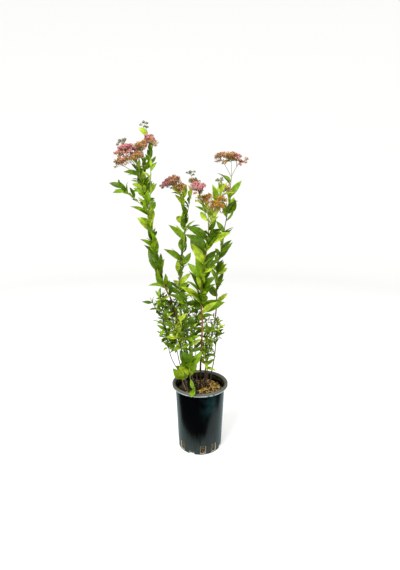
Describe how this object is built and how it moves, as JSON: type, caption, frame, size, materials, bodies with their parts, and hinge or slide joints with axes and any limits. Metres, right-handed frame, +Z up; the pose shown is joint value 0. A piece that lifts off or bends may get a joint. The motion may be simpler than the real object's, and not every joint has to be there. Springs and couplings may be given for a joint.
{
  "type": "potted spirea shrub",
  "caption": "Flowering spirea shrub with slender leafy canes, flat-topped pink and fading brown flower heads, in a round black nursery pot",
  "frame": {"origin": "centre of the pot's flat underside, on the surface the pot stands on", "axes": "+Z up along the pot's axis, -Y the front of the plant, +X to the right seen from the front"},
  "size_m": [0.3137, 0.1988, 0.8422],
  "materials": {
    "pot": "moulded, glossy, dusty towards the foot",
    "soil": "damp potting mix with bark chips",
    "stem": "smooth red-brown bark",
    "foliage": "satin leaves, pink and brown flower heads"
  },
  "bodies": {
    "root": {"pot": "pot", "soil": "soil", "cane_left": "stem", "left_leaves": "foliage", "left_side": "foliage", "left_flowers": "foliage", "left_column": "foliage", "left_tall": "foliage", "cane_middle": "stem", "middle_leaves": "foliage", "middle_left_flowers": "foliage", "middle_right_flowers": "foliage", "cane_front": "stem", "front_leaves": "foliage", "front_left_flowers": "foliage", "front_mid_flowers": "foliage", "front_right_flowers": "foliage", "front_back_spray": "foliage", "cane_right": "stem", "right_leaves": "foliage", "right_flowers": "foliage", "cane_far": "stem", "far_leaves": "foliage", "twig_low_left": "stem", "low_left_leaves": "foliage", "twig_low_side": "stem", "low_side_leaves": "foliage", "twig_low_front": "stem", "low_front_leaves": "foliage", "twig_low_mid": "stem", "low_mid_leaves": "foliage", "twig_low_inner": "stem", "low_inner_leaves": "foliage", "twig_low_back": "stem", "low_back_leaves": "foliage", "twig_right_front": "stem", "right_front_leaves": "foliage", "twig_right_back": "stem", "right_back_leaves": "foliage", "basal_left": "foliage", "basal_front": "foliage", "basal_rim": "foliage"}
  },
  "joints": []
}
